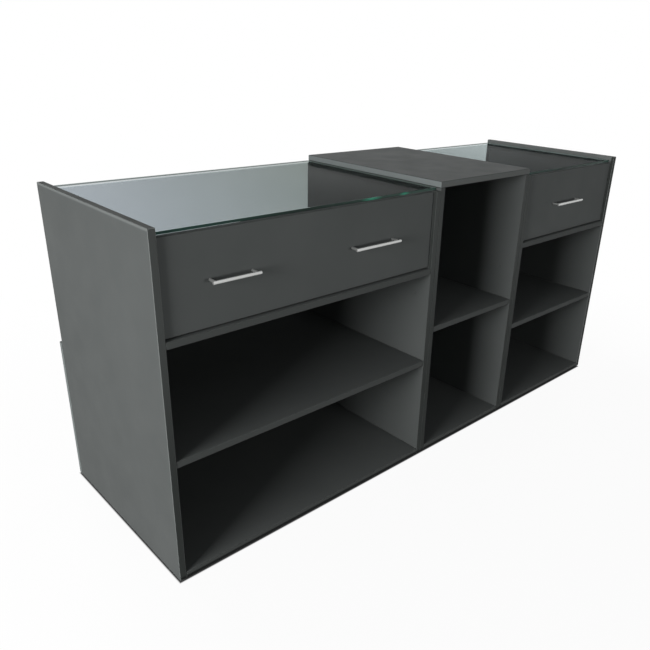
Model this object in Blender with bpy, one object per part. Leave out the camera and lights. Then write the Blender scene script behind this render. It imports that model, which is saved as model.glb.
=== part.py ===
"""Glass display counter: two display units with drawers under glass and an open unit between them.

The staff side, with the drawers and the open shelves, faces -Y and the customer side faces +Y. The counter
stands on z = 0 and its box is centred on x = 0 and y = 0. Lengths are in metres.
"""

from math import pi, radians

import bmesh
import bpy
from mathutils import Matrix, Vector

# Units, from left to right as the staff see them
LEFT_WIDTH = 0.900
MIDDLE_WIDTH = 0.450
RIGHT_WIDTH = 0.600
CARCASS_DEPTH = 0.600

# Boards, and the gap that every touching pair keeps
BOARD = 0.018
EDGE_BEVEL = 0.0012
GAP = 0.0003

# Clear heights, stacked from the floor up
GLIDE_HEIGHT = 0.005
LOWER_BAY = 0.309
UPPER_BAY = 0.286
DISPLAY_BAY = 0.2295
END_RISE = 0.013
MIDDLE_RISE = 0.005
MIDDLE_LOWER_BAY = 0.415
CLADDING_HEIGHT = 0.445
SHELF_SETBACK = 0.001

# Glass
TOP_GLASS = 0.008
TOP_GLASS_SETBACK = 0.019
TOP_GLASS_END_GAP = 0.0008
GLASS_BEVEL = 0.0006
FRONT_GLASS = 0.006
FRONT_GLASS_ENTRY = 0.005
REST_WIDTH = 0.015
REST_HEIGHT = 0.018
REST_MARGIN = 0.002

# Drawers
DRAWER_SETBACK = 0.010
DRAWER_SIDE_GAP = 0.003
DRAWER_LOWER_GAP = 0.003
DRAWER_UPPER_GAP = 0.002
TRAY_BOARD = 0.015
TRAY_REAR_CLEARANCE = 0.0134
TRAY_HEIGHT = 0.055
TRAY_BOTTOM = 0.006
TRAY_BOTTOM_RISE = 0.010
TRAY_GROOVE = 0.005

# Bar handles: for each, its place as a share of its drawer front's width, from the left, and its length
LEFT_HANDLES = ((0.203, 0.128), (0.722, 0.166))
RIGHT_HANDLES = ((0.445, 0.166),)
HANDLE_RADIUS = 0.004
HANDLE_CHAMFER = 0.001
HANDLE_REACH = 0.030
HANDLE_OVERHANG = 0.008
POST_RADIUS = 0.0035
SCREW_RADIUS = 0.002
SCREW_HEAD_RADIUS = 0.004
SCREW_HEAD = 0.0025

# Roller runners
RUNNER_SPACE = 0.0125
RUNNER_SETBACK = 0.002
RUNNER_REAR_CLEARANCE = 0.0517
RUNNER_CLEARANCE = 0.003
RUNNER_STEP = 0.0035
RUNNER_LIP = 0.0047
RUNNER_LEDGE = 0.0105
RUNNER_SHELF = 0.011
STEEL = 0.0012
STEEL_BEND = 0.0012
ROLLER_RADIUS = 0.012
ROLLER_WIDTH = 0.0065
ROLLER_CHAMFER = 0.001
ROLLER_INSET = 0.016
AXLE_RADIUS = 0.003
AXLE_HEAD_RADIUS = 0.0045
AXLE_HEAD = 0.001

# Dowels, joining bolts and floor glides
DOWEL_RADIUS = 0.004
DOWEL_IN_FACE = 0.012
DOWEL_IN_END = 0.018
DOWEL_CHAMFER = 0.001
DOWEL_INSETS = (0.085, 0.515)
BOLT_RADIUS = 0.003
BOLT_HEAD_RADIUS = 0.007
BOLT_HEAD = 0.0015
BOLT_PLACES = (("low", 0.540, 0.120), ("high", 0.060, 0.560))
GLIDE_RADIUS = 0.008
GLIDE_CHAMFER = 0.0015
GLIDE_INSETS = (0.060, 0.540)

# Sides of the polygons that stand for round sections
ROLLER_SIDES = 20
HANDLE_SIDES = 16
FITTING_SIDES = 12
DOWEL_SIDES = 8
SMOOTH_ANGLE = radians(40)

# A cutter runs this far past the face that it opens, and a welded piece this far into what carries it
OVERCUT = 0.001

# Points nearer than this are one point of a turned shape
MERGE_DISTANCE = 1e-6

# Levels and planes that follow from the sizes above
BASE = GLIDE_HEIGHT
BOTTOM_TOP = BASE + BOARD
SHELF_UNDERSIDE = BOTTOM_TOP + LOWER_BAY
DECK_UNDERSIDE = SHELF_UNDERSIDE + BOARD + UPPER_BAY
DECK_TOP = DECK_UNDERSIDE + BOARD
GLASS_UNDERSIDE = DECK_TOP + DISPLAY_BAY
END_TOP = GLASS_UNDERSIDE + TOP_GLASS + END_RISE
REST_TOP = GLASS_UNDERSIDE - GAP
MIDDLE_TOP = END_TOP + MIDDLE_RISE
MIDDLE_UNDERSIDE = MIDDLE_TOP - BOARD
MIDDLE_SHELF_UNDERSIDE = BOTTOM_TOP + MIDDLE_LOWER_BAY
LEFT_END = -(LEFT_WIDTH + MIDDLE_WIDTH + RIGHT_WIDTH) / 2
LEFT_JUNCTION = LEFT_END + LEFT_WIDTH
RIGHT_JUNCTION = LEFT_JUNCTION + MIDDLE_WIDTH
RIGHT_END = RIGHT_JUNCTION + RIGHT_WIDTH
STAFF_PLANE = -(CARCASS_DEPTH + GAP + BOARD + DRAWER_SETBACK - HANDLE_REACH) / 2
CUSTOMER_PLANE = STAFF_PLANE + CARCASS_DEPTH
PANEL_FACE = CUSTOMER_PLANE - BOARD
BOARD_END = PANEL_FACE - GAP
DRAWER_FACE = STAFF_PLANE + DRAWER_SETBACK
DRAWER_BACK = DRAWER_FACE + BOARD
DRAWER_LOW = DECK_TOP + DRAWER_LOWER_GAP
DRAWER_HIGH = GLASS_UNDERSIDE - DRAWER_UPPER_GAP
HANDLE_LEVEL = (DRAWER_LOW + DRAWER_HIGH) / 2
TRAY_LOW = DECK_TOP + RUNNER_CLEARANCE + STEEL + GAP
TRAY_HIGH = TRAY_LOW + TRAY_HEIGHT
TRAY_FLOOR = TRAY_LOW + TRAY_BOTTOM_RISE
TRAY_END = BOARD_END - TRAY_REAR_CLEARANCE
TRACK = ROLLER_RADIUS + GAP
AXLE_LEVEL = DECK_TOP + RUNNER_CLEARANCE + RUNNER_STEP + STEEL + TRACK
RUNNER_START = DRAWER_BACK + RUNNER_SETBACK
RUNNER_END = BOARD_END - RUNNER_REAR_CLEARANCE
RUNNER_LENGTH = RUNNER_END - RUNNER_START
FRONT_AXLE = RUNNER_START + ROLLER_INSET
REAR_AXLE = RUNNER_END - ROLLER_INSET
FRONT_ROLLER_OFF = GAP + STEEL + GAP + ROLLER_WIDTH / 2
REAR_ROLLER_OFF = GAP + STEEL + GAP + AXLE_HEAD + GAP + ROLLER_WIDTH / 2

# Finishes: colour, roughness and metallic value
CHARCOAL = ((0.066, 0.070, 0.069), 0.50, 0.0)
GLASS = ((0.560, 0.680, 0.650), 0.05, 0.0)
SATIN_STEEL = ((0.620, 0.625, 0.620), 0.30, 1.0)
GREY_STEEL = ((0.300, 0.305, 0.310), 0.40, 0.6)
NYLON = ((0.700, 0.690, 0.660), 0.50, 0.0)

# For each turning axis: the axis itself, and where a profile's radius points
AXES = {
    "X": (Vector((1, 0, 0)), Vector((0, 0, 1))),
    "Y": (Vector((0, 1, 0)), Vector((0, 0, 1))),
    "Z": (Vector((0, 0, 1)), Vector((1, 0, 0))),
}


def clear_scene():
    for old in list(bpy.data.objects):
        bpy.data.objects.remove(old, do_unlink=True)


def finish(name, look):
    colour, roughness, metallic = look
    made = bpy.data.materials.new(name)
    made.use_nodes = True
    shader = made.node_tree.nodes["Principled BSDF"]
    shader.inputs["Base Color"].default_value = (*colour, 1.0)
    shader.inputs["Roughness"].default_value = roughness
    shader.inputs["Metallic"].default_value = metallic
    return made


def box(x, y, z):
    """A closed box that spans the given pairs of limits, in any order."""
    spans = [sorted(pair) for pair in (x, y, z)]
    centre = Vector([(low + high) / 2 for low, high in spans])
    size = Vector([high - low for low, high in spans])
    shape = bmesh.new()
    bmesh.ops.create_cube(shape, size=1.0, matrix=Matrix.LocRotScale(centre, None, size))
    return shape


def turned(axis, sides, profile, ring=False):
    """Spin (along, radius) points about an axis through the origin; a ring's profile closes on itself."""
    along, out = AXES[axis]
    shape = bmesh.new()
    points = [shape.verts.new(along * place + out * radius) for place, radius in profile]
    pairs = list(zip(points, points[1:]))
    if ring:
        pairs.append((points[-1], points[0]))
    edges = [shape.edges.new(pair) for pair in pairs]
    bmesh.ops.spin(shape, geom=points + edges, axis=along, angle=2 * pi, steps=sides, use_merge=True)
    bmesh.ops.remove_doubles(shape, verts=shape.verts, dist=MERGE_DISTANCE)
    bmesh.ops.recalc_face_normals(shape, faces=shape.faces)
    return shape


def rod(axis, start, reach, radius, sides):
    """A plain cylinder from a start point along an axis; a negative reach runs backwards."""
    profile = [(0.0, 0.0), (0.0, radius), (reach, radius), (reach, 0.0)]
    shape = turned(axis, sides, profile)
    bmesh.ops.translate(shape, verts=shape.verts, vec=start)
    return shape


def joined(shapes):
    """One mesh of several separate shapes, which it uses up."""
    whole = bmesh.new()
    for shape in shapes:
        part = bpy.data.meshes.new("part")
        shape.to_mesh(part)
        shape.free()
        whole.from_mesh(part)
        bpy.data.meshes.remove(part)
    return whole


def moved(shape, place):
    """A copy of a shape at another place."""
    copy = shape.copy()
    bmesh.ops.translate(copy, verts=copy.verts, vec=place)
    return copy


def add_object(name, shape, origin, parent=None):
    """Make a named object of a shape that is given about its own origin."""
    mesh = bpy.data.meshes.new(name)
    shape.to_mesh(mesh)
    shape.free()
    made = bpy.data.objects.new(name, mesh)
    bpy.context.collection.objects.link(made)
    made.location = origin
    if parent:
        made.parent = parent
        made.location -= parent.location
    return made


def add_part(name, shape, look, origin=(0, 0, 0), parent=None, smooth=True):
    part = add_object(name, shape, origin, parent)
    part.data.materials.append(finish(name, look))
    if smooth:
        part.data.shade_smooth()
        part.data.set_sharp_from_angle(angle=SMOOTH_ANGLE)
    return part


def combine(part, tools, operation, origin=(0, 0, 0)):
    """Cut tools out of a part, or weld them to it; their places count from the part's origin."""
    tool = add_object(f"{part.name}_{operation.lower()}", joined(tools), (0, 0, 0))
    tool.data.transform(Matrix.Translation(-Vector(origin)))
    tool.parent = part
    tool.hide_render = True
    tool.display_type = "WIRE"
    step = part.modifiers.new(operation.title(), "BOOLEAN")
    step.operation = operation
    step.solver = "EXACT"
    step.object = tool


def board(name, x, y, z, look=CHARCOAL, parent=None, bevel=EDGE_BEVEL, cuts=(), welds=()):
    """A flat piece with eased edges and its origin in its middle; cuts and welds have world places."""
    centre = Vector([sum(pair) / 2 for pair in (x, y, z)])
    shape = box(x, y, z)
    bmesh.ops.translate(shape, verts=shape.verts, vec=-centre)
    made = add_part(name, shape, look, centre, parent, smooth=False)
    easing = made.modifiers.new("Eased edges", "BEVEL")
    easing.width = bevel
    easing.segments = 1
    if welds:
        combine(made, welds, "UNION", centre)
    if cuts:
        combine(made, cuts, "DIFFERENCE", centre)
    return made


def slide_guide(name, place):
    """An empty that carries the pieces of one drawer."""
    guide = bpy.data.objects.new(name, None)
    bpy.context.collection.objects.link(guide)
    guide.location = place
    return guide


def depths(insets):
    """World y for distances behind the staff plane."""
    return [STAFF_PLANE + inset for inset in insets]


def dowel_holes_in_face(face, into, level):
    """Dowel holes in a side panel, for the end of a level board that meets its face."""
    reach = into * (DOWEL_IN_FACE + GAP + OVERCUT)
    return [
        rod("X", (face - into * OVERCUT, y, level), reach, DOWEL_RADIUS + GAP, DOWEL_SIDES)
        for y in depths(DOWEL_INSETS)
    ]


def dowel(axis, start, reach):
    """A glued dowel that stands out of a board, chamfered at its free end."""
    tip = abs(reach) - DOWEL_CHAMFER
    way = 1 if reach > 0 else -1
    profile = [
        (-way * OVERCUT, 0.0),
        (-way * OVERCUT, DOWEL_RADIUS),
        (way * tip, DOWEL_RADIUS),
        (reach, DOWEL_RADIUS - DOWEL_CHAMFER),
        (reach, 0.0),
    ]
    return moved(turned(axis, DOWEL_SIDES, profile), Vector(start))


def end_dowels(ends, level):
    """Dowels out of both ends of a level board."""
    low, high = ends
    dowels = []
    for y in depths(DOWEL_INSETS):
        dowels.append(dowel("X", (low, y, level), -DOWEL_IN_FACE))
        dowels.append(dowel("X", (high, y, level), DOWEL_IN_FACE))
    return dowels


def floor_glides(middle):
    """Glides pressed into the lower edge of a side panel, which stand on the floor."""
    profile = [
        (0.0, 0.0),
        (0.0, GLIDE_RADIUS - GLIDE_CHAMFER),
        (GLIDE_CHAMFER, GLIDE_RADIUS),
        (BASE + OVERCUT, GLIDE_RADIUS),
        (BASE + OVERCUT, 0.0),
    ]
    return [
        moved(turned("Z", FITTING_SIDES, profile), Vector((middle, y, 0.0))) for y in depths(GLIDE_INSETS)
    ]


def bolt_holes(middle):
    start = middle - BOARD / 2 - OVERCUT
    reach = BOARD + 2 * OVERCUT
    return [
        rod("X", (start, STAFF_PLANE + inset, level), reach, BOLT_RADIUS + GAP, FITTING_SIDES)
        for _, inset, level in BOLT_PLACES
    ]


def front_glass_groove(face, into):
    """The upright groove in an end panel that holds one edge of the customer-side pane."""
    x = (face - into * OVERCUT, face + into * (FRONT_GLASS_ENTRY + GAP))
    y = (PANEL_FACE - GAP, PANEL_FACE + FRONT_GLASS + GAP)
    return box(x, y, (DECK_TOP, GLASS_UNDERSIDE))


class DisplayUnit:
    """A display unit: open shelves, a drawer under glass above them, and a tall panel at the outer end."""

    def __init__(self, name, outer, junction, handles):
        self.name = name
        self.inward = 1 if junction > outer else -1
        self.outer = outer
        self.end_face = outer + self.inward * BOARD
        self.side_outer = junction - self.inward * GAP / 2
        self.side_face = self.side_outer - self.inward * BOARD
        self.bay = sorted((self.end_face, self.side_face))
        centre = sum(self.bay) / 2
        self.guide = slide_guide(f"{name}_drawer_guide", (centre, DRAWER_FACE, DRAWER_LOW))
        low, high = self.between(DRAWER_SIDE_GAP)
        self.handles = [
            (Vector((low + share * (high - low), DRAWER_FACE, HANDLE_LEVEL)), length)
            for share, length in handles
        ]

    def between(self, margin):
        """Limits in x between the two sides, held off by a margin."""
        return self.bay[0] + margin, self.bay[1] - margin

    def carcass(self):
        self.sides()
        self.level_boards()
        self.customer_side()
        self.glass()

    def sides(self):
        levels = [low + BOARD / 2 for low in (BASE, SHELF_UNDERSIDE, DECK_UNDERSIDE)]
        panels = [
            ("end_panel", self.outer, self.end_face, -self.inward, CUSTOMER_PLANE, END_TOP),
            ("inner_side", self.side_outer, self.side_face, self.inward, BOARD_END, REST_TOP),
        ]
        for kind, back, face, into, far, top in panels:
            middle = (back + face) / 2
            cuts = [hole for level in levels for hole in dowel_holes_in_face(face, into, level)]
            if kind == "end_panel":
                cuts.append(front_glass_groove(face, into))
            else:
                cuts += bolt_holes(middle)
            y = (STAFF_PLANE, far)
            z = (BASE, top)
            board(f"{self.name}_{kind}", (back, face), y, z, cuts=cuts, welds=floor_glides(middle))

    def level_boards(self):
        x = self.between(GAP)
        add_level_board(f"{self.name}_bottom", x, BASE)
        add_shelf(f"{self.name}_shelf", x, SHELF_UNDERSIDE)
        add_level_board(f"{self.name}_deck", x, DECK_UNDERSIDE)

    def customer_side(self):
        """The panel over the ends of the boards, which closes both compartments, and its cladding."""
        x = (self.end_face + self.inward * GAP, self.side_outer)
        add_customer_panel(f"{self.name}_customer_panel", x, DECK_TOP)
        add_cladding(f"{self.name}_cladding", (self.outer, self.side_outer))

    def glass(self):
        """The top plate, its rest on the end panel, and the pane that stands on the customer panel."""
        near = self.end_face + self.inward * TOP_GLASS_END_GAP
        far = self.side_outer - self.inward * TOP_GLASS_END_GAP
        y = (STAFF_PLANE + TOP_GLASS_SETBACK, CUSTOMER_PLANE)
        z = (GLASS_UNDERSIDE, GLASS_UNDERSIDE + TOP_GLASS)
        board(f"{self.name}_glass_top", (near, far), y, z, GLASS, bevel=GLASS_BEVEL)

        x = (self.end_face - self.inward * FRONT_GLASS_ENTRY, far)
        y = (PANEL_FACE, PANEL_FACE + FRONT_GLASS)
        z = (DECK_TOP + GAP, GLASS_UNDERSIDE - GAP)
        board(f"{self.name}_glass_front", x, y, z, GLASS, bevel=GLASS_BEVEL)

        x = (self.end_face + self.inward * GAP, self.end_face + self.inward * (GAP + REST_WIDTH))
        y = (DRAWER_BACK + REST_MARGIN, PANEL_FACE - REST_MARGIN)
        board(f"{self.name}_glass_rest", x, y, (REST_TOP - REST_HEIGHT, REST_TOP))

    def drawer(self):
        self.drawer_front()
        self.tray()
        for count, (place, length) in enumerate(self.handles):
            suffix = f"_{count + 1}" if len(self.handles) > 1 else ""
            add_handle(f"{self.name}_handle{suffix}", place, length, self.guide)

    def tray_floor_limits(self):
        """Limits in x of the tray's bottom panel, which stands in grooves in the tray sides."""
        return self.between(RUNNER_SPACE + TRAY_BOARD - TRAY_GROOVE + GAP)

    def floor_groove(self, x, y):
        return box(x, y, (TRAY_FLOOR - GAP, TRAY_FLOOR + TRAY_BOTTOM + GAP))

    def drawer_front(self):
        low, high = self.tray_floor_limits()
        depth = (DRAWER_BACK - TRAY_GROOVE, DRAWER_BACK + OVERCUT)
        cuts = [self.floor_groove((low - GAP, high + GAP), depth)]
        for place, length in self.handles:
            for foot in handle_feet(length):
                start = place + foot - Vector((0, OVERCUT, 0))
                cuts.append(rod("Y", start, BOARD + 2 * OVERCUT, SCREW_RADIUS + GAP, FITTING_SIDES))
        x = self.between(DRAWER_SIDE_GAP)
        z = (DRAWER_LOW, DRAWER_HIGH)
        board(f"{self.name}_drawer_front", x, (DRAWER_FACE, DRAWER_BACK), z, parent=self.guide, cuts=cuts)

    def tray(self):
        start = DRAWER_BACK + GAP
        left, right = self.between(RUNNER_SPACE)
        for hand, outer, into in (("left", left, 1), ("right", right, -1)):
            inner = outer + into * TRAY_BOARD
            across = (inner - into * TRAY_GROOVE, inner + into * OVERCUT)
            groove = self.floor_groove(across, (start - OVERCUT, TRAY_END + OVERCUT))
            x = (outer, inner)
            y = (start, TRAY_END)
            z = (TRAY_LOW, TRAY_HIGH)
            board(f"{self.name}_tray_{hand}_side", x, y, z, parent=self.guide, cuts=[groove])
        inside = self.between(RUNNER_SPACE + TRAY_BOARD + GAP)
        floor_top = TRAY_FLOOR + TRAY_BOTTOM
        y = (TRAY_END - TRAY_BOARD, TRAY_END)
        board(f"{self.name}_tray_back", inside, y, (floor_top + GAP, TRAY_HIGH), parent=self.guide)
        y = (DRAWER_BACK - TRAY_GROOVE + GAP, TRAY_END)
        floor = (TRAY_FLOOR, floor_top)
        board(f"{self.name}_tray_bottom", self.tray_floor_limits(), y, floor, parent=self.guide)

    def runners(self):
        """Both runners of the drawer, and the four rollers that they ride on."""
        hands = (("left", self.bay[0], 1), ("right", self.bay[1], -1))
        for hand, face, towards in hands:
            add_cabinet_runner(f"{self.name}_cabinet_runner_{hand}", face, towards)
            add_drawer_runner(f"{self.name}_drawer_runner_{hand}", face, towards, self.guide)
            for kind, y, off, parent in (
                ("front", FRONT_AXLE, FRONT_ROLLER_OFF, None),
                ("rear", REAR_AXLE, REAR_ROLLER_OFF, self.guide),
            ):
                place = Vector((face + towards * off, y, AXLE_LEVEL))
                add_part(f"{self.name}_{kind}_roller_{hand}", roller(), NYLON, place, parent)


def add_level_board(name, x, underside, near=STAFF_PLANE):
    """A board that is dowelled between two sides and ends at the customer panel."""
    z = (underside, underside + BOARD)
    board(name, x, (near, BOARD_END), z, welds=end_dowels(x, underside + BOARD / 2))


def add_shelf(name, x, underside):
    """A level board that stands a little back from the staff plane."""
    add_level_board(name, x, underside, STAFF_PLANE + SHELF_SETBACK)


def add_customer_panel(name, x, top):
    """The board that lies over the ends of a unit's level boards and inner sides."""
    board(name, x, (PANEL_FACE, CUSTOMER_PLANE), (BASE, top))


def add_cladding(name, x):
    """The low board on the customer side of a unit."""
    y = (CUSTOMER_PLANE + GAP, CUSTOMER_PLANE + GAP + BOARD)
    board(name, x, y, (BASE, BASE + CLADDING_HEIGHT))


def add_middle_unit():
    """The narrow open unit: two sides under an overlay top, with a shelf between them."""
    left = LEFT_JUNCTION + GAP / 2
    right = RIGHT_JUNCTION - GAP / 2
    bay = (left + BOARD, right - BOARD)
    top_dowels = []
    for hand, outer, face, into in (("left", left, bay[0], -1), ("right", right, bay[1], 1)):
        middle = (outer + face) / 2
        cuts = bolt_holes(middle)
        for low in (BASE, MIDDLE_SHELF_UNDERSIDE):
            cuts += dowel_holes_in_face(face, into, low + BOARD / 2)
        for y in depths(DOWEL_INSETS):
            start = (middle, y, MIDDLE_UNDERSIDE)
            cuts.append(rod("Z", start, -(DOWEL_IN_END + GAP), DOWEL_RADIUS + GAP, DOWEL_SIDES))
            top_dowels.append(dowel("Z", start, -DOWEL_IN_END))
        y = (STAFF_PLANE, BOARD_END)
        z = (BASE, MIDDLE_UNDERSIDE - GAP)
        board(f"middle_{hand}_side", (outer, face), y, z, cuts=cuts, welds=floor_glides(middle))
    inside = (bay[0] + GAP, bay[1] - GAP)
    add_level_board("middle_bottom", inside, BASE)
    add_shelf("middle_shelf", inside, MIDDLE_SHELF_UNDERSIDE)
    y = (STAFF_PLANE, CUSTOMER_PLANE)
    z = (MIDDLE_UNDERSIDE, MIDDLE_TOP)
    board("middle_top", (left, right), y, z, welds=top_dowels)
    add_customer_panel("middle_customer_panel", (left, right), MIDDLE_UNDERSIDE - GAP)
    add_cladding("middle_cladding", (left, right))


def handle_feet(length):
    """Where the two posts of a handle stand, from its middle."""
    half = Vector((length / 2 - HANDLE_OVERHANG, 0, 0))
    return -half, half


def add_handle(name, place, length, guide):
    """A straight round bar on two posts, with the screws that hold them through the drawer front."""
    half = length / 2
    end_radius = HANDLE_RADIUS - HANDLE_CHAMFER
    profile = [
        (-half, 0.0),
        (-half, end_radius),
        (-half + HANDLE_CHAMFER, HANDLE_RADIUS),
        (half - HANDLE_CHAMFER, HANDLE_RADIUS),
        (half, end_radius),
        (half, 0.0),
    ]
    bar = turned("X", HANDLE_SIDES, profile)
    bar_line = HANDLE_REACH - HANDLE_RADIUS
    bmesh.ops.translate(bar, verts=bar.verts, vec=(0, -bar_line, 0))
    handle = add_part(name, bar, SATIN_STEEL, place, guide)
    combine(handle, [moved(handle_post(bar_line), foot) for foot in handle_feet(length)], "UNION")


def handle_post(bar_line):
    """A post from the bar to the drawer front, and the screw through the front into it."""
    seat = BOARD + GAP
    profile = [
        (-bar_line, 0.0),
        (-bar_line, POST_RADIUS),
        (-GAP, POST_RADIUS),
        (-GAP, SCREW_RADIUS),
        (seat, SCREW_RADIUS),
        (seat, SCREW_HEAD_RADIUS),
        (seat + SCREW_HEAD / 2, SCREW_HEAD_RADIUS),
        (seat + SCREW_HEAD, SCREW_RADIUS),
        (seat + SCREW_HEAD, 0.0),
    ]
    return turned("Y", FITTING_SIDES, profile)


def roller():
    """A nylon roller about its axle line, bored for the axle and eased at its rims."""
    half = ROLLER_WIDTH / 2
    bore = AXLE_RADIUS + GAP
    profile = [
        (-half, bore),
        (-half, ROLLER_RADIUS - ROLLER_CHAMFER),
        (-half + ROLLER_CHAMFER, ROLLER_RADIUS),
        (half - ROLLER_CHAMFER, ROLLER_RADIUS),
        (half, ROLLER_RADIUS - ROLLER_CHAMFER),
        (half, bore),
    ]
    return turned("X", ROLLER_SIDES, profile, ring=True)


def folded_runner(name, path, origin, towards, parent=None):
    """A strip of steel folded along (across, up) points and run back from the runner's front end."""
    shape = bmesh.new()
    points = [shape.verts.new((towards * across, 0.0, up)) for across, up in path]
    line = [shape.edges.new(pair) for pair in zip(points, points[1:])]
    swept = bmesh.ops.extrude_edge_only(shape, edges=line)["geom"]
    far = [item for item in swept if isinstance(item, bmesh.types.BMVert)]
    bmesh.ops.translate(shape, verts=far, vec=(0, RUNNER_LENGTH, 0))
    folds = [edge for edge in shape.edges if len(edge.link_faces) == 2]
    bmesh.ops.bevel(shape, geom=folds, offset=STEEL_BEND, segments=2, profile=0.5, affect="EDGES")
    bmesh.ops.recalc_face_normals(shape, faces=shape.faces)
    runner = add_part(name, shape, GREY_STEEL, origin, parent)
    sheet = runner.modifiers.new("Sheet", "SOLIDIFY")
    sheet.thickness = STEEL
    sheet.offset = 0.0
    sheet.use_even_offset = True
    return runner


def axle(root, length, towards):
    """A riveted axle pin from the middle of a runner's web, with a head that keeps its roller on."""
    profile = [
        (0.0, 0.0),
        (0.0, AXLE_RADIUS),
        (towards * length, AXLE_RADIUS),
        (towards * length, AXLE_HEAD_RADIUS),
        (towards * (length + AXLE_HEAD), AXLE_HEAD_RADIUS),
        (towards * (length + AXLE_HEAD), 0.0),
    ]
    return moved(turned("X", FITTING_SIDES, profile), Vector(root))


def add_cabinet_runner(name, face, towards):
    """The fixed channel on a cabinet side, with the axle of the front roller."""
    web = GAP + STEEL / 2
    fold = TRACK + STEEL / 2
    path = [(RUNNER_LIP, fold), (web, fold), (web, -fold), (RUNNER_LEDGE, -fold)]
    runner = folded_runner(name, path, Vector((face, RUNNER_START, AXLE_LEVEL)), towards)
    length = STEEL / 2 + ROLLER_WIDTH + 2 * GAP
    combine(runner, [axle((towards * web, ROLLER_INSET, 0), length, towards)], "UNION")


def add_drawer_runner(name, face, towards, guide):
    """The moving member on a tray side: a track over the front roller, a foot under the tray, an axle."""
    web = RUNNER_SPACE - GAP - STEEL / 2
    fold = TRACK + STEEL / 2
    foot = -fold - RUNNER_STEP
    path = [(RUNNER_LIP + 2 * GAP, fold), (web, fold), (web, foot), (RUNNER_SPACE + RUNNER_SHELF, foot)]
    runner = folded_runner(name, path, Vector((face, RUNNER_START, AXLE_LEVEL)), towards, guide)
    length = web - (GAP + STEEL + GAP + AXLE_HEAD)
    rear = RUNNER_LENGTH - ROLLER_INSET
    combine(runner, [axle((towards * web, rear, 0), length, -towards)], "UNION")


def add_joining_bolts(side, junction):
    """Sleeve bolts through the two sides that meet at a junction, with a flat cap at each end."""
    seat = BOARD + GAP / 2 + GAP
    half = [
        (seat + BOLT_HEAD, 0.0),
        (seat + BOLT_HEAD, BOLT_HEAD_RADIUS),
        (seat, BOLT_HEAD_RADIUS),
        (seat, BOLT_RADIUS),
    ]
    profile = [(-along, radius) for along, radius in half] + half[::-1]
    for kind, inset, level in BOLT_PLACES:
        bolt = turned("X", FITTING_SIDES, profile)
        place = Vector((junction, STAFF_PLANE + inset, level))
        add_part(f"{side}_{kind}_joining_bolt", bolt, CHARCOAL, place)


def build():
    clear_scene()
    units = [
        DisplayUnit("left", LEFT_END, LEFT_JUNCTION, LEFT_HANDLES),
        DisplayUnit("right", RIGHT_END, RIGHT_JUNCTION, RIGHT_HANDLES),
    ]
    for unit in units:
        unit.carcass()
        unit.drawer()
        unit.runners()
    add_middle_unit()
    add_joining_bolts("left", LEFT_JUNCTION)
    add_joining_bolts("right", RIGHT_JUNCTION)


build()
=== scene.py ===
"""Glass display counter in charcoal board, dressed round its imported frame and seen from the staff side."""

from math import radians

import bmesh
import bpy
from mathutils import Matrix, Vector


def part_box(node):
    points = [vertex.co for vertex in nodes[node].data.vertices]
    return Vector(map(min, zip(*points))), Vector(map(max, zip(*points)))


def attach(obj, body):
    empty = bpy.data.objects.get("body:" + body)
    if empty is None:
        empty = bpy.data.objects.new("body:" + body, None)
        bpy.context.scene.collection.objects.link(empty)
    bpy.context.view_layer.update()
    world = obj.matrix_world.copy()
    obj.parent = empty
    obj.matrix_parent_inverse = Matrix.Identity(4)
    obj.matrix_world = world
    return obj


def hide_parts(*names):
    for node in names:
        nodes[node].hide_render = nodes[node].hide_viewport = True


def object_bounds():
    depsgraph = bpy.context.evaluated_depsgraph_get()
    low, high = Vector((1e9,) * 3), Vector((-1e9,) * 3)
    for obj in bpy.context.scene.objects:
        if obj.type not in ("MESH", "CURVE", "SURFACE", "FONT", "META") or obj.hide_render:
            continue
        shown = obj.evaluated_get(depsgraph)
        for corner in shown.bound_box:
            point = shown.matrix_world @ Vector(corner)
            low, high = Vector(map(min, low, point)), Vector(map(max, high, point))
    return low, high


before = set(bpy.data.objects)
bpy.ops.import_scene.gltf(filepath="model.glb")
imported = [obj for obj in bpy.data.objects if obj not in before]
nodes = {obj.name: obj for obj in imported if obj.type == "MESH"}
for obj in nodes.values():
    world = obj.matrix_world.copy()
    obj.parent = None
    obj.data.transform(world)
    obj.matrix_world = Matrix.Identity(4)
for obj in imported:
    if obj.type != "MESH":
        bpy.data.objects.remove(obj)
cad_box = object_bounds()
scene = bpy.context.scene

# Sizes of the dressed pieces, in metres
GLASS_ARRIS = 0.0008
HANDLE_BAR_RADIUS = 0.004
HANDLE_POST_RADIUS = 0.0035
HANDLE_OVERHANG = 0.008
HANDLE_EASING = 0.0010
RUNNER_STEEL = 0.0012
RUNNER_SCREW_RADIUS = 0.0032
RUNNER_SCREW_HEIGHT = 0.0011

# The screws of a runner: how many, the first one's place and the spacing as shares of the runner's length,
# and the radius of a head's top as a share of that of its rim
SCREW_COUNT = 3
SCREW_START = 0.14
SCREW_SPACING = 0.36
SCREW_CROWN = 0.6

# Sides of the round pieces, steps of an eased edge, and the angles from which an edge is eased or stays sharp
BAR_SIDES = 40
POST_SIDES = 32
SCREW_SIDES = 20
EASING_STEPS = 3
EASING_ANGLE = radians(40)
SHARP_ANGLE = radians(50)
QUARTER_TURN = radians(90)

# How squarely a surface must face along an axis to count as a side of a glass plate, the range in which it
# takes on the tone of a board's edge, and the sums of its normal's parts between which it is an eased corner
PLATE_FACING = 0.95
EDGE_FACING = (0.80, 0.90)
CORNER_FACING = (1.15, 1.35)

# Most of a noise lies between these values
NOISE_SPAN = (0.3, 0.7)

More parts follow.
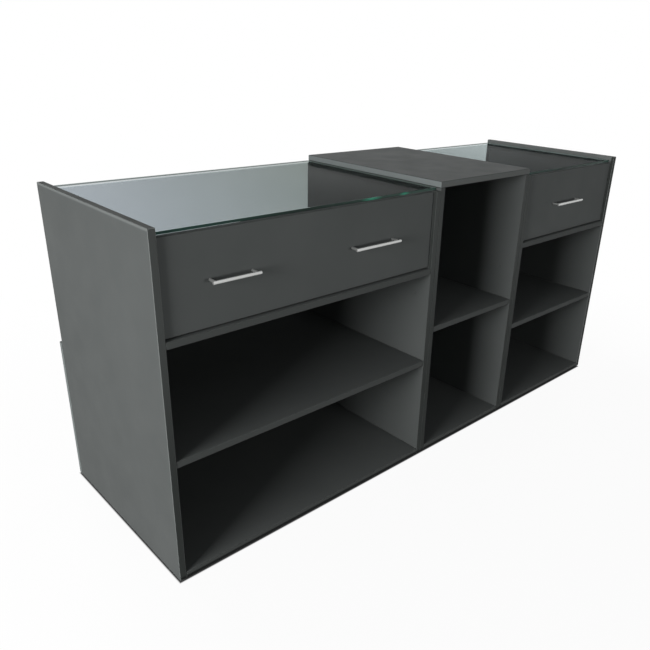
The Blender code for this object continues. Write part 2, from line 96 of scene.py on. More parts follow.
# Tones of the charcoal boards: faces from dark to pale, banded edges, the middle top's band made paler as
# painted light, a darker band as painted shade, ends made pale as painted light, eased corners, painted shade
# along the floor and a painted highlight on corners and margins
BOARD_DARK = (0.0950, 0.1020, 0.1000)
BOARD_PALE = (0.1040, 0.1110, 0.1090)
BOARD_BAND = (0.0760, 0.0815, 0.0790)
TOP_BAND_PAINTED_LIGHT = (0.1350, 0.1440, 0.1400)
PAINTED_SHADE_BAND = (0.0440, 0.0485, 0.0460)
BOARD_END_PAINTED_LIGHT = (0.2000, 0.2220, 0.2200)
BOARD_EASED = (0.0700, 0.0750, 0.0730)
BOARD_FOOT_PAINTED_SHADE = (0.0140, 0.0155, 0.0150)
BOARD_PAINTED_HIGHLIGHT = (0.1700, 0.1820, 0.1780)
BOARD_ROUGHNESS = (0.52, 0.62)
MATT_SPECULAR = 0.04

# The painted highlight along the top of each end panel: where it starts and where it is full, below the top
PAINTED_HIGHLIGHT_MARGINS = {"left": (0.007, 0.004), "right": (0.016, 0.014)}

# The heights between which the painted shade on the edges of the sides fades out, and those where the painted
# shade along the floor ends
PAINTED_SHADE_HEIGHTS = (0.30, 0.70)
FOOT_SHADE_HEIGHTS = (0.011, 0.015)

# The camera, fitted to the photograph's straight edges
IMAGE_SIDE = 650.0
SENSOR = 36.0
FOCAL_PIXELS = 654.1
OPTICAL_AXIS_PIXEL = (360.9, 334.6)
CAMERA_PLACE = Vector((-1.5484, -1.4979, 1.2354))
CAMERA_FORWARD = Vector((0.6429, 0.6569, -0.3939))
CAMERA_RIGHT = Vector((0.7247, -0.6882, 0.0353))

# The grey-green colour of each unit's glass at its left and right ends, changing along it as painted light,
# and the thin film of dust that varies it
GLASS_TINT_AND_LIGHT = {
    "left": ((0.585, 0.620, 0.650), (0.390, 0.430, 0.415)),
    "right": ((0.490, 0.535, 0.538), (0.570, 0.618, 0.618)),
}
GLASS_FILM = (0.70, 0.73, 0.73)
FILM_SPAN = (0.40, 0.75)
FILM_SHARE = 0.12

# How much the white studio mirrors in each unit's glass, which is seen at a lower angle on the right
GLASS_IOR = {"left": 1.02, "right": 1.01}
CLEAR_EDGE_IOR = 1.02

# The green of the glass's front edges from their left end to their right end, with painted light and shade
# along them, and painted glints, as places along the counter and half widths
EDGE_STOPS = ((0.0, (0.022, 0.062, 0.050)), (0.45, (0.016, 0.029, 0.024)), (1.0, (0.050, 0.092, 0.076)))
PAINTED_EDGE_GLINT = (0.050, 0.290, 0.185)
PAINTED_GLINT_PLACES = ((-0.335, 0.040), (-0.210, 0.022))

# The other edges of the glass: its corners, paler than the faces as a painted highlight, the far edges of the
# tops, seen as a thin dark line, and the ends, made pale as painted light
ARRIS_HIGHLIGHT_TINTS = ((0.66, 0.75, 0.74), (0.74, 0.82, 0.81))
FAR_EDGE_TINTS = ((0.052, 0.066, 0.061), (0.062, 0.076, 0.071))
GLASS_END_PAINTED_LIGHT = ((0.380, 0.440, 0.420), (0.440, 0.500, 0.480))

# Tones of the metals from dark to pale, and of the nylon from clean to scuffed
SATIN_TONES = ((0.50, 0.51, 0.50), (0.64, 0.65, 0.64))
SATIN_ROUGHNESS = (0.34, 0.46)
BRUSH_SPAN = (0.2, 0.8)
COAT_TONES = ((0.27, 0.275, 0.28), (0.32, 0.325, 0.33))
ZINC_TONES = ((0.46, 0.47, 0.46), (0.62, 0.63, 0.60))
NYLON_TONES = ((0.68, 0.67, 0.63), (0.48, 0.47, 0.44))
SCUFF_SPAN = (0.5, 0.8)

# The studio: a floor that is grey to light and white to the eye, and grey under the counter as painted
# shadow, how far off it turns plain white, how far outside the counter's outline the painted shadow reaches,
# and a dim fill from all round
WHITE = (1.0, 1.0, 1.0)
FLOOR_REACH = 40.0
FLOOR_WHITE = (0.95, 0.95, 0.95)
FLOOR_GREY = (0.10, 0.10, 0.10)
FLOOR_GLOW = 0.94
FLOOR_FADE = (1.2, 2.2)
FLOOR_CONTACT = 0.004
WORLD_FILL = 0.15
WORLD_FILL_COLOUR = (0.96, 0.98, 1.0)
SEEN_RAYS = ("Is Camera Ray", "Is Glossy Ray", "Is Transmission Ray")

# A Mix node has a pair of inputs and an output for each kind of value, and these are the ones for colours
MIX_COLOURS = (6, 7)
MIX_RESULT = 2


# Shader nodes

def new_material(name):
    """A node material, its tree and its Principled shader."""
    made = bpy.data.materials.new(name)
    made.use_nodes = True
    tree = made.node_tree
    return made, tree, tree.nodes["Principled BSDF"]


def add_node(tree, kind, values=None, **settings):
    """A new node with its settings, and with fixed values on some of its inputs."""
    node = tree.nodes.new(kind)
    for key, value in settings.items():
        setattr(node, key, value)
    for key, value in (values or {}).items():
        node.inputs[key].default_value = value
    return node


def feed(tree, value, socket):
    """Join another node's output to a socket, or set the socket to a fixed number or colour."""
    if isinstance(value, bpy.types.NodeSocket):
        tree.links.new(value, socket)
    elif isinstance(value, tuple):
        socket.default_value = (*value, 1.0)
    else:
        socket.default_value = value


def set_finish(tree, shader, finish):
    """Set a shader's inputs by their names."""
    for name, value in finish.items():
        feed(tree, value, shader.inputs[name])


def calculate(tree, operation, first, second=None):
    """The result of a Math node for one or two values, each a number or another node's output."""
    node = add_node(tree, "ShaderNodeMath", operation=operation)
    feed(tree, first, node.inputs[0])
    if second is not None:
        feed(tree, second, node.inputs[1])
    return node.outputs["Value"]


def product(tree, first, second):
    return calculate(tree, "MULTIPLY", first, second)


def remap(tree, value, source, target):
    """Spread the values of one range over another."""
    limits = {"From Min": source[0], "From Max": source[1], "To Min": target[0], "To Max": target[1]}
    node = add_node(tree, "ShaderNodeMapRange", limits)
    tree.links.new(value, node.inputs["Value"])
    return node.outputs["Result"]


def fade(tree, value, start, full):
    """0 to 1 as a value goes from a start to where it is full."""
    return remap(tree, value, (start, full), (0.0, 1.0))


def blend_colours(tree, factor, first, second):
    """Mix two colours, each a fixed value or another node's output."""
    mix = add_node(tree, "ShaderNodeMix", data_type="RGBA")
    tree.links.new(factor, mix.inputs["Factor"])
    for index, colour in zip(MIX_COLOURS, (first, second)):
        feed(tree, colour, mix.inputs[index])
    return mix.outputs[MIX_RESULT]


def bump(tree, height, strength, distance):
    node = add_node(tree, "ShaderNodeBump", {"Strength": strength, "Distance": distance})
    tree.links.new(height, node.inputs["Height"])
    return node.outputs["Normal"]


def object_noise(tree, scale, detail=2.0, roughness=0.5, stretch=(1.0, 1.0, 1.0)):
    """Noise on Object coordinates, in cycles a metre; stretch squeezes or draws it out along each axis."""
    place = add_node(tree, "ShaderNodeTexCoord")
    mapping = add_node(tree, "ShaderNodeMapping", {"Scale": stretch})
    noise = add_node(tree, "ShaderNodeTexNoise", {"Scale": scale, "Detail": detail, "Roughness": roughness})
    tree.links.new(place.outputs["Object"], mapping.inputs["Vector"])
    tree.links.new(mapping.outputs["Vector"], noise.inputs["Vector"])
    return noise.outputs["Fac"]


def object_axis(tree, axis):
    """A point's Object coordinate along one axis."""
    place = add_node(tree, "ShaderNodeTexCoord")
    split = add_node(tree, "ShaderNodeSeparateXYZ")
    tree.links.new(place.outputs["Object"], split.inputs["Vector"])
    return split.outputs[axis]


def facing(tree, axes, limits):
    """0 to 1 as the sizes of a normal's parts along the axes named add up to between two limits."""
    weights = [float(axis in axes) for axis in "XYZ"]
    place = add_node(tree, "ShaderNodeTexCoord")
    size = add_node(tree, "ShaderNodeVectorMath", operation="ABSOLUTE")
    total = add_node(tree, "ShaderNodeVectorMath", {1: weights}, operation="DOT_PRODUCT")
    tree.links.new(place.outputs["Normal"], size.inputs[0])
    tree.links.new(size.outputs["Vector"], total.inputs[0])
    return fade(tree, total.outputs["Value"], *limits)


# Charcoal board

def between_ends(tree):
    """1 on the end panels' inner faces and between them, and 0 on their outer faces."""
    low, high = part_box("right_end_panel")
    outwards = calculate(tree, "ABSOLUTE", object_axis(tree, "X"))
    return calculate(tree, "LESS_THAN", outwards, (low[0] + high[0]) / 2)


def reveal_shade_mask(tree):
    """Painted shade: 1 on the boards beside a drawer, as far as they stand in front of its face, and 0
    elsewhere.
    """
    ahead = calculate(tree, "LESS_THAN", object_axis(tree, "Y"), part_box("left_drawer_front")[0][1])
    above = calculate(tree, "GREATER_THAN", object_axis(tree, "Z"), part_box("left_deck")[1][2])
    return product(tree, product(tree, ahead, above), between_ends(tree))


def board_face(tree, highlight_heights, highlight_inside, reveal_shade):
    """The tone of a board's faces: a little cloudy, paler between two heights as a painted highlight and
    darker beside a drawer's face as painted shade.
    """
    cloud = fade(tree, object_noise(tree, scale=5.0, detail=3.0), *NOISE_SPAN)
    face = blend_colours(tree, cloud, BOARD_DARK, BOARD_PALE)
    # Painted highlight: faces paler between two heights
    if highlight_heights:
        highlight = fade(tree, object_axis(tree, "Z"), *highlight_heights)
        if highlight_inside:
            highlight = product(tree, highlight, between_ends(tree))
        face = blend_colours(tree, highlight, face, BOARD_PAINTED_HIGHLIGHT)
    # Painted shade on the faces beside a drawer, in front of its face
    if reveal_shade:
        face = blend_colours(tree, reveal_shade_mask(tree), face, PAINTED_SHADE_BAND)
    return face


def board_band(tree, band, is_side):
    """The tone of a board's banded edges: painted shade along the floor and, on a side, painted shade lower
    down.
    """
    height = object_axis(tree, "Z")
    # Painted shade: the edges of the sides grow darker lower down
    if is_side:
        band = blend_colours(tree, fade(tree, height, *PAINTED_SHADE_HEIGHTS), PAINTED_SHADE_BAND, band)
    # Painted shade along the foot of every band, next to the floor
    return blend_colours(tree, fade(tree, height, *FOOT_SHADE_HEIGHTS), BOARD_FOOT_PAINTED_SHADE, band)


def charcoal_board(
    name, thickness_axis, band=BOARD_BAND, corner=BOARD_EASED,
    highlight_heights=None, highlight_inside=False, reveal_shade=False,
):
    """Charcoal melamine with a fine pearl emboss, darker banded edges, eased corners and, on boards that are
    not sides, ends along X made pale as painted light.

    Faces take a painted highlight between two given heights, or only on the one towards the glass. On a board
    that frames a drawer, painted shade in the band's dark tone turns into the opening.
    """
    made, tree, shader = new_material(name)
    is_side = thickness_axis == "X"
    face = board_face(tree, highlight_heights, highlight_inside, reveal_shade)
    edge = board_band(tree, band, is_side)
    edge_axes = "XYZ".replace(thickness_axis, "")
    colour = blend_colours(tree, facing(tree, edge_axes, EDGE_FACING), face, edge)
    # Painted light: on boards that are not sides, ends along X are made pale
    end_axis, end = ("Z", BOARD_BAND) if is_side else ("X", BOARD_END_PAINTED_LIGHT)
    colour = blend_colours(tree, facing(tree, end_axis, EDGE_FACING), colour, end)
    set_finish(tree, shader, {
        "Base Color": blend_colours(tree, facing(tree, "XYZ", CORNER_FACING), colour, corner),
        "Roughness": remap(tree, object_noise(tree, scale=14.0), NOISE_SPAN, BOARD_ROUGHNESS),
        "Specular IOR Level": MATT_SPECULAR,
        "Normal": bump(tree, object_noise(tree, scale=900.0), strength=0.10, distance=0.0002),
    })
    return made


# Glass

def glass_face(side):
    """Clear float glass, a touch grey-green in its body, with painted light that changes its tone along the
    counter.
    """
    made, tree, shader = new_material(f"{side}_glass_face")
    low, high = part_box(f"{side}_glass_top")
    along = fade(tree, object_axis(tree, "X"), low[0], high[0])
    # The glass's grey-green colour with painted light that changes along the counter
    tint_and_light = blend_colours(tree, along, *GLASS_TINT_AND_LIGHT[side])
    film = remap(tree, object_noise(tree, scale=2.5, detail=3.0), FILM_SPAN, (0.0, FILM_SHARE))
    set_finish(tree, shader, {
        "Base Color": blend_colours(tree, film, tint_and_light, GLASS_FILM),
        "Roughness": 0.0,
        "Transmission Weight": 1.0,
        "IOR": GLASS_IOR[side],
    })
    return made


def glass_edge(side):
    """The polished green front edge of a glass top, with painted shade darkest near its middle and a few
    painted glints.
    """
    made, tree, shader = new_material(f"{side}_glass_edge")
    low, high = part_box(f"{side}_glass_top")
    along = object_axis(tree, "X")
    # Green with painted light and shade along the edge
    ramp = add_node(tree, "ShaderNodeValToRGB")
    stops = ramp.color_ramp.elements
    while len(stops) < len(EDGE_STOPS):
        stops.new(0.5)
    for stop, (position, colour) in zip(stops, EDGE_STOPS):
        stop.position = position
        stop.color = (*colour, 1.0)
    tree.links.new(fade(tree, along, low[0], high[0]), ramp.inputs["Fac"])
    colour = ramp.outputs["Color"]
    # Painted glints at given places along the counter
    for centre, half in PAINTED_GLINT_PLACES:
        off = calculate(tree, "ABSOLUTE", calculate(tree, "SUBTRACT", along, centre))
        painted_glint = remap(tree, off, (0.0, half), (1.0, 0.0))
        colour = blend_colours(tree, painted_glint, colour, PAINTED_EDGE_GLINT)
    set_finish(tree, shader, {"Base Color": colour, "Roughness": 0.25, "Specular IOR Level": 0.1})
    return made


def clear_glass_edge(name, tints):
    """The corners or the far edge of a glass plate, which let light through with a green cast; on the corners
    the paler colour is a painted highlight.
    """
    made, tree, shader = new_material(name)
    set_finish(tree, shader, {
        "Base Color": blend_colours(tree, object_noise(tree, scale=700.0, detail=1.0), *tints),
        "Roughness": 0.0,
        "Transmission Weight": 1.0,
        "IOR": CLEAR_EDGE_IOR,
    })
    return made


def glass_end():
    """The ground ends of a glass plate, which sit against the boards, made pale as painted light."""
    made, tree, shader = new_material("glass_end")
    set_finish(tree, shader, {
        "Base Color": blend_colours(tree, object_noise(tree, scale=500.0), *GLASS_END_PAINTED_LIGHT),
        "Roughness": 0.6,
        "Specular IOR Level": MATT_SPECULAR,
    })
    return made


# Metal and nylon

def satin_steel():
    """Satin stainless bar, brushed along its length."""
    made, tree, shader = new_material("satin_steel")
    brush = object_noise(tree, scale=900.0, detail=3.0, roughness=0.6, stretch=(0.03, 1.0, 1.0))
    set_finish(tree, shader, {
        "Base Color": blend_colours(tree, brush, *SATIN_TONES),
        "Roughness": remap(tree, brush, BRUSH_SPAN, SATIN_ROUGHNESS),
        "Metallic": 0.8,
        "Normal": bump(tree, brush, strength=0.05, distance=0.0001),
    })
    return made


def coated_steel():
    """Grey powder coat on the folded runners, with a slight orange peel."""
    made, tree, shader = new_material("coated_steel")
    peel = object_noise(tree, scale=260.0)
    set_finish(tree, shader, {
        "Base Color": blend_colours(tree, peel, *COAT_TONES),
        "Roughness": 0.42,
        "Normal": bump(tree, peel, strength=0.15, distance=0.0002),
    })
    return made


def zinc_steel():
    """Bright zinc on the runner screws."""
    made, tree, shader = new_material("zinc_steel")
    set_finish(tree, shader, {
        "Base Color": blend_colours(tree, object_noise(tree, scale=400.0), *ZINC_TONES),
        "Metallic": 1.0,
        "Roughness": 0.35,
    })
    return made


def roller_nylon():
    """Off-white nylon, a little scuffed where it rolls."""
    made, tree, shader = new_material("roller_nylon")
    scuff = fade(tree, object_noise(tree, scale=180.0, detail=4.0), *SCUFF_SPAN)
    set_finish(tree, shader, {
        "Base Color": blend_colours(tree, scuff, *NYLON_TONES),
        "Roughness": 0.5,
    })
    return made


# Meshes

def add_piece(name, mesh, body, slot, *replaced):
    """A finished piece that sits at the origin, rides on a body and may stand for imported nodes."""
    piece = bpy.data.objects.new(name, mesh)
    scene.collection.objects.link(piece)
    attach(piece, body)
    if replaced:
        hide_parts(*replaced)


def plate_surface(normal, flat_axis):
    """What a surface of a glass plate is, from where it points and from the axis of the plate's thickness."""
    squarely = [abs(part) > PLATE_FACING for part in normal]
    if squarely[flat_axis]:
        return "face"
    if squarely[0]:
        return "end"
    if squarely[1]:
        return "front edge" if normal.y < 0.0 else "far edge"
    return "corner"


def add_glass_plate(node, flat_axis, looks):
    """A glass plate with eased corners, in the looks of its surfaces."""
    low, high = (Vector(corner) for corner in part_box(node))
    shape = bmesh.new()
    bmesh.ops.create_cube(shape, size=1.0, matrix=Matrix.LocRotScale((low + high) / 2, None, high - low))
    bmesh.ops.bevel(shape, geom=shape.edges, offset=GLASS_ARRIS, segments=1, profile=0.5, affect="EDGES")
    surfaces = list(looks)
    for face in shape.faces:
        face.material_index = surfaces.index(plate_surface(face.normal, flat_axis))
    mesh = bpy.data.meshes.new(f"{node}_plate")
    shape.to_mesh(mesh)
    shape.free()
    for look in looks.values():
        mesh.materials.append(look)
    add_piece(f"{node}_plate", mesh, "carcass", "clear_glass", node)


# Node trees that make the repeated pieces

def new_shape_tree(name, inputs):
    """A geometry tree with the inputs given by name and kind, and the nodes at its two ends."""
    tree = bpy.data.node_groups.new(name, "GeometryNodeTree")
    for label, kind in inputs.items():
        tree.interface.new_socket(label, in_out="INPUT", socket_type=f"NodeSocket{kind}")
    tree.interface.new_socket("Geometry", in_out="OUTPUT", socket_type="NodeSocketGeometry")
    return tree, add_node(tree, "NodeGroupInput").outputs, add_node(tree, "NodeGroupOutput")


def end_shape_tree(tree, given, result, geometry):
    """End a tree in real geometry with its material set."""
    real = add_node(tree, "GeometryNodeRealizeInstances")
    painted = add_node(tree, "GeometryNodeSetMaterial")
    tree.links.new(geometry, real.inputs["Geometry"])
    tree.links.new(real.outputs["Geometry"], painted.inputs["Geometry"])
    tree.links.new(given["Material"], painted.inputs["Material"])
    tree.links.new(painted.outputs["Geometry"], result.inputs["Geometry"])


def cylinder(tree, sides, radius, length, turn):
    """The node that turns a cylinder, whose radius and length come from other nodes."""
    made = add_node(tree, "GeometryNodeMeshCylinder", {"Vertices": sides})
    turned = add_node(tree, "GeometryNodeTransform", {"Rotation": turn})
    tree.links.new(radius, made.inputs["Radius"])
    tree.links.new(length, made.inputs["Depth"])
    tree.links.new(made.outputs["Mesh"], turned.inputs["Geometry"])
    return turned


def along_axis(tree, axis, value):
    """A vector along one axis, as long as another node says."""
    node = add_node(tree, "ShaderNodeCombineXYZ")
    tree.links.new(value, node.inputs[axis])
    return node.outputs["Vector"]


def placed_along_line(tree, instance, count, start, step):
    """The node that sets copies of a piece in a row."""
    line = add_node(tree, "GeometryNodeMeshLine")
    feed(tree, count, line.inputs["Count"])
    tree.links.new(start, line.inputs["Start Location"])
    tree.links.new(step, line.inputs["Offset"])
    row = add_node(tree, "GeometryNodeInstanceOnPoints")
    tree.links.new(line.outputs["Mesh"], row.inputs["Points"])
    tree.links.new(instance, row.inputs["Instance"])
    return row


def handle_tree():
    """A round bar along X with two posts behind it, about the middle of the bar."""
    tree, given, result = new_shape_tree("bar_handle", {
        "Centre": "Vector",
        "Length": "Float",
        "Bar radius": "Float",
        "Post radius": "Float",
        "Post length": "Float",
        "Post spacing": "Float",
        "Material": "Material",
    })
    link = tree.links.new
    bar = cylinder(tree, BAR_SIDES, given["Bar radius"], given["Length"], (0.0, QUARTER_TURN, 0.0))
    post = cylinder(tree, POST_SIDES, given["Post radius"], given["Post length"], (QUARTER_TURN, 0.0, 0.0))
    link(along_axis(tree, "Y", product(tree, given["Post length"], 0.5)), post.inputs["Translation"])
    first = along_axis(tree, "X", product(tree, given["Post spacing"], -0.5))
    step = along_axis(tree, "X", given["Post spacing"])
    posts = placed_along_line(tree, post.outputs["Geometry"], 2, first, step)

    whole = add_node(tree, "GeometryNodeJoinGeometry")
    link(bar.outputs["Geometry"], whole.inputs["Geometry"])
    link(posts.outputs["Instances"], whole.inputs["Geometry"])
    place = add_node(tree, "GeometryNodeTransform")
    link(whole.outputs["Geometry"], place.inputs["Geometry"])
    link(given["Centre"], place.inputs["Translation"])
    end_shape_tree(tree, given, result, place.outputs["Geometry"])
    return tree


def screw_row_tree():
    """A row of domed screw heads, each turned to stand out of a wall."""
    tree, given, result = new_shape_tree("screw_row", {
        "First": "Vector",
        "Spacing": "Vector",
        "Count": "Int",
        "Head radius": "Float",
        "Head height": "Float",
        "Turn": "Vector",
        "Material": "Material",
    })
    link = tree.links.new
    head = add_node(tree, "GeometryNodeMeshCone", {"Vertices": SCREW_SIDES})
    link(given["Head radius"], head.inputs["Radius Bottom"])
    link(product(tree, given["Head radius"], SCREW_CROWN), head.inputs["Radius Top"])
    link(given["Head height"], head.inputs["Depth"])
    heads = placed_along_line(tree, head.outputs["Mesh"], given["Count"], given["First"], given["Spacing"])
    turn = add_node(tree, "FunctionNodeEulerToRotation")
    link(given["Turn"], turn.inputs["Euler"])
    link(turn.outputs["Rotation"], heads.inputs["Rotation"])
    end_shape_tree(tree, given, result, heads.outputs["Instances"])
    return tree


def evaluated_mesh(name, tree, values, easing=None):
    """Run a node tree on an empty mesh with its inputs set, and return the result as a plain mesh."""
    holder = bpy.data.objects.new(name, bpy.data.meshes.new(name))
    scene.collection.objects.link(holder)
    step = holder.modifiers.new("Shape", "NODES")
    step.node_group = tree
    for item in tree.interface.items_tree:
        if item.in_out == "INPUT":
            step[item.identifier] = values[item.name]
    if easing:
        soft = holder.modifiers.new("Eased edges", "BEVEL")
        soft.width = easing
        soft.segments = EASING_STEPS
        soft.limit_method = "ANGLE"
        soft.angle_limit = EASING_ANGLE
    ready = holder.evaluated_get(bpy.context.evaluated_depsgraph_get())
    mesh = bpy.data.meshes.new_from_object(ready)
    mesh.name = name
    bpy.data.objects.remove(holder)
    mesh.shade_smooth()
    mesh.set_sharp_from_angle(angle=SHARP_ANGLE)
    return mesh


# Dressed pieces

def add_glass():
    # The corners are paler than the faces as a painted highlight
    arris = clear_glass_edge("glass_arris", ARRIS_HIGHLIGHT_TINTS)
    far_edge = clear_glass_edge("glass_far_edge", FAR_EDGE_TINTS)
    # The ends are made pale as painted light
    end = glass_end()
    for side in ("left", "right"):
        looks = {
            "face": glass_face(side),
            "front edge": glass_edge(side),
            "corner": arris,
            "end": end,
            "far edge": far_edge,
        }
        add_glass_plate(f"{side}_glass_top", 2, looks)
        add_glass_plate(f"{side}_glass_front", 1, looks)


def add_handles():
    tree = handle_tree()
    steel = satin_steel()
    for node, body in (
        ("left_handle_1", "left_drawer"),
        ("left_handle_2", "left_drawer"),
        ("right_handle", "right_drawer"),
    ):
        low, high = (Vector(corner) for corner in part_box(node))
        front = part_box(body + "_front")[0][1]
        centre = Vector(((low.x + high.x) / 2, low.y + HANDLE_BAR_RADIUS, (low.z + high.z) / 2))
        values = {
            "Centre": centre,
            "Length": high.x - low.x,
            "Bar radius": HANDLE_BAR_RADIUS,
            "Post radius": HANDLE_POST_RADIUS,
            "Post length": front - centre.y,
            "Post spacing": high.x - low.x - 2 * HANDLE_OVERHANG,
            "Material": steel,
        }
        mesh = evaluated_mesh(f"{node}_bar", tree, values, HANDLE_EASING)
        add_piece(f"{node}_bar", mesh, body, "satin_steel", node)


def add_runner_screws():
    """Screw heads on the webs of the cabinet runners."""
    tree = screw_row_tree()
    zinc = zinc_steel()
    for side in ("left", "right"):
        for hand, towards in (("left", 1), ("right", -1)):
            node = f"{side}_cabinet_runner_{hand}"
            low, high = (Vector(corner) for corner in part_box(node))
            wall = low.x + RUNNER_STEEL if towards > 0 else high.x - RUNNER_STEEL
            length = high.y - low.y
            values = {
                "First": Vector((wall, low.y + SCREW_START * length, (low.z + high.z) / 2)),
                "Spacing": Vector((0.0, SCREW_SPACING * length, 0.0)),
                "Count": SCREW_COUNT,
                "Head radius": RUNNER_SCREW_RADIUS,
                "Head height": RUNNER_SCREW_HEIGHT,
                "Turn": Vector((0.0, QUARTER_TURN * towards, 0.0)),
                "Material": zinc,
            }
            mesh = evaluated_mesh(f"{node}_screws", tree, values)
            add_piece(f"{node}_screws", mesh, "carcass", "runner_steel")


def special_boards():
    """The boards with painted light or shade of their own, by node."""
    # Painted light: the middle top's band is paler than the other bands
    middle_top = charcoal_board("charcoal_top_board", "Z", band=TOP_BAND_PAINTED_LIGHT)
    # Painted shade in the openings beside the drawers
    inner_side = charcoal_board("charcoal_inner_board", "X", reveal_shade=True)
    special = {
        "middle_top": middle_top,
        "left_inner_side": inner_side,
        "right_inner_side": inner_side,
    }
    for side, margin in PAINTED_HIGHLIGHT_MARGINS.items():
        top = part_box(f"{side}_end_panel")[1][2]
        is_right = side == "right"
        # Painted highlight on the end panels' top margin and corners; the right one's band is darker as
        # painted shade
        special[f"{side}_end_panel"] = charcoal_board(
            f"charcoal_{side}_end_board", "X",
            band=PAINTED_SHADE_BAND if is_right else BOARD_BAND, corner=BOARD_PAINTED_HIGHLIGHT,
            highlight_heights=[top - below for below in margin], highlight_inside=is_right, reveal_shade=True,
        )
    return special


def paint_nodes():
    """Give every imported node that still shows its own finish."""
    boards = {axis: charcoal_board(f"charcoal_board_{axis.lower()}", axis) for axis in "XYZ"}
    special = special_boards()
    steel = coated_steel()
    nylon = roller_nylon()
    for name, node in nodes.items():
        if "runner" in name:
            look = steel
        elif "roller" in name:
            look = nylon
        elif name in special:
            look = special[name]
        elif "bolt" in name:
            look = boards["X"]
        else:
            low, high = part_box(name)
            size = [high[i] - low[i] for i in range(3)]
            look = boards["XYZ"[size.index(min(size))]]
        node.data.materials.clear()
        node.data.materials.append(look)


# Studio

def any_ray(tree, path, kinds):
    """1 for a ray of any of the kinds named, and 0 for the rest."""
    found = path.outputs[kinds[0]]
    for kind in kinds[1:]:
        found = calculate(tree, "MAXIMUM", found, path.outputs[kind])
    return found


def beyond_footprint(tree, point):
    """The painted shadow's mask: 0 under the counter, rising to 1 a few millimetres outside the outline of
    its boards.
    """
    low, high = (Vector(corner) for corner in cad_box)
    reach = Vector((high.x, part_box("left_cladding")[1][1], 0.0))
    near = Vector((low.x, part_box("left_end_panel")[0][1], 0.0))
    shift = add_node(tree, "ShaderNodeVectorMath", {1: (reach + near) / 2}, operation="SUBTRACT")
    fold = add_node(tree, "ShaderNodeVectorMath", operation="ABSOLUTE")
    outside = add_node(tree, "ShaderNodeVectorMath", {1: (reach - near) / 2}, operation="SUBTRACT")
    split = add_node(tree, "ShaderNodeSeparateXYZ")
    link = tree.links.new
    link(point, shift.inputs[0])
    link(shift.outputs["Vector"], fold.inputs[0])
    link(fold.outputs["Vector"], outside.inputs[0])
    link(outside.outputs["Vector"], split.inputs["Vector"])
    far = calculate(tree, "MAXIMUM", split.outputs["X"], split.outputs["Y"])
    return fade(tree, far, 0.0, FLOOR_CONTACT)


def floor_finish():
    """White where it is seen, fading to plain white far off, with the counter's soft shadow close by, and a
    painted shadow under the counter and just round it.
    """
    made, tree, shader = new_material("studio_floor")
    link = tree.links.new
    path = add_node(tree, "ShaderNodeLightPath")
    place = add_node(tree, "ShaderNodeTexCoord")
    outside = beyond_footprint(tree, place.outputs["Object"])
    # Painted shadow: grey under the counter and just round its outline
    pale = product(tree, path.outputs["Is Camera Ray"], outside)
    set_finish(tree, shader, {
        "Base Color": blend_colours(tree, pale, FLOOR_GREY, FLOOR_WHITE),
        "Roughness": 0.9,
        "Specular IOR Level": 0.0,
    })
    reach = add_node(tree, "ShaderNodeVectorMath", operation="LENGTH")
    link(place.outputs["Object"], reach.inputs[0])
    plain = remap(tree, reach.outputs["Value"], FLOOR_FADE, (FLOOR_GLOW, 1.0))
    share = product(tree, product(tree, plain, outside), any_ray(tree, path, SEEN_RAYS))
    glow = add_node(tree, "ShaderNodeEmission", {"Color": (*WHITE, 1.0), "Strength": 1.0})
    mix = add_node(tree, "ShaderNodeMixShader")
    link(share, mix.inputs["Fac"])
    link(shader.outputs["BSDF"], mix.inputs[1])
    link(glow.outputs["Emission"], mix.inputs[2])
    link(mix.outputs["Shader"], tree.nodes["Material Output"].inputs["Surface"])
    return made


def add_floor():
    shape = bmesh.new()
    bmesh.ops.create_grid(shape, x_segments=1, y_segments=1, size=FLOOR_REACH)
    mesh = bpy.data.meshes.new("studio_floor")
    shape.to_mesh(mesh)
    shape.free()
    mesh.materials.append(floor_finish())
    floor = bpy.data.objects.new("studio_floor", mesh)
    scene.collection.objects.link(floor)


def add_world():
    """White where it is seen, directly, in metal or through glass, and a dim even fill elsewhere."""
    world = bpy.data.worlds.new("studio")
    world.use_nodes = True
    tree = world.node_tree
    fill = tree.nodes["Background"]
    fill.inputs["Color"].default_value = (*WORLD_FILL_COLOUR, 1.0)
    fill.inputs["Strength"].default_value = WORLD_FILL
    white = add_node(tree, "ShaderNodeBackground", {"Color": (*WHITE, 1.0), "Strength": 1.0})
    path = add_node(tree, "ShaderNodeLightPath")
    mix = add_node(tree, "ShaderNodeMixShader")
    tree.links.new(any_ray(tree, path, SEEN_RAYS), mix.inputs["Fac"])
    tree.links.new(fill.outputs["Background"], mix.inputs[1])
    tree.links.new(white.outputs["Background"], mix.inputs[2])
    tree.links.new(mix.outputs["Shader"], tree.nodes["World Output"].inputs["Surface"])
    scene.world = world


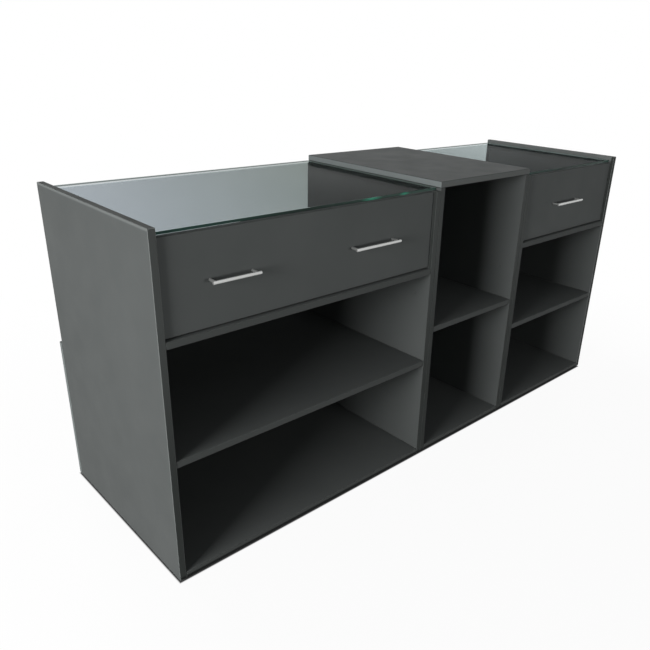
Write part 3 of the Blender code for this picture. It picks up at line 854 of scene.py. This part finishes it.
def add_area_light(name, place, target, size, power):
    """A soft light, as wide and tall as size says, that leaves no image of itself in gloss or glass."""
    data = bpy.data.lights.new(name, "AREA")
    data.shape = "RECTANGLE"
    data.size, data.size_y = size
    data.energy = power
    light = bpy.data.objects.new(name, data)
    light.location = place
    aim = Vector(target) - Vector(place)
    light.rotation_euler = aim.to_track_quat("-Z", "Y").to_euler()
    light.visible_glossy = False
    light.visible_transmission = False
    scene.collection.objects.link(light)


def add_lights():
    """Lights for the left end, the staff side, the customer side with the tops, and the right end."""
    add_area_light(
        "left_light", place=(-4.09, -1.02, 1.30), target=(-0.975, 0.0, 0.5), size=(1.4, 1.2), power=132.0,
    )
    add_area_light(
        "front_light", place=(0.2, -5.4, 0.90), target=(0.0, 0.0, 0.5), size=(1.6, 0.8), power=66.0,
    )
    add_area_light(
        "back_light", place=(-0.4, 4.2, 2.7), target=(0.0, 0.0, 0.6), size=(2.4, 2.0), power=135.0,
    )
    add_area_light(
        "right_light", place=(4.4, 0.8, 1.0), target=(0.975, 0.0, 0.45), size=(1.4, 1.0), power=75.0,
    )


def add_camera():
    """The photograph's viewpoint: place, aim and the off-centre optical axis."""
    data = bpy.data.cameras.new("photo_camera")
    data.sensor_width = SENSOR
    data.lens = FOCAL_PIXELS / IMAGE_SIDE * SENSOR
    data.shift_x = (IMAGE_SIDE / 2 - OPTICAL_AXIS_PIXEL[0]) / IMAGE_SIDE
    data.shift_y = (OPTICAL_AXIS_PIXEL[1] - IMAGE_SIDE / 2) / IMAGE_SIDE
    camera = bpy.data.objects.new("photo_camera", data)
    back = -CAMERA_FORWARD.normalized()
    right = (CAMERA_RIGHT - back * CAMERA_RIGHT.dot(back)).normalized()
    up = back.cross(right)
    camera.matrix_world = Matrix((right, up, back)).transposed().to_4x4()
    camera.location = CAMERA_PLACE
    scene.collection.objects.link(camera)
    scene.camera = camera


paint_nodes()
add_glass()
add_handles()
add_runner_screws()
add_floor()
add_world()
add_lights()
add_camera()
scene.view_settings.view_transform = "Standard"
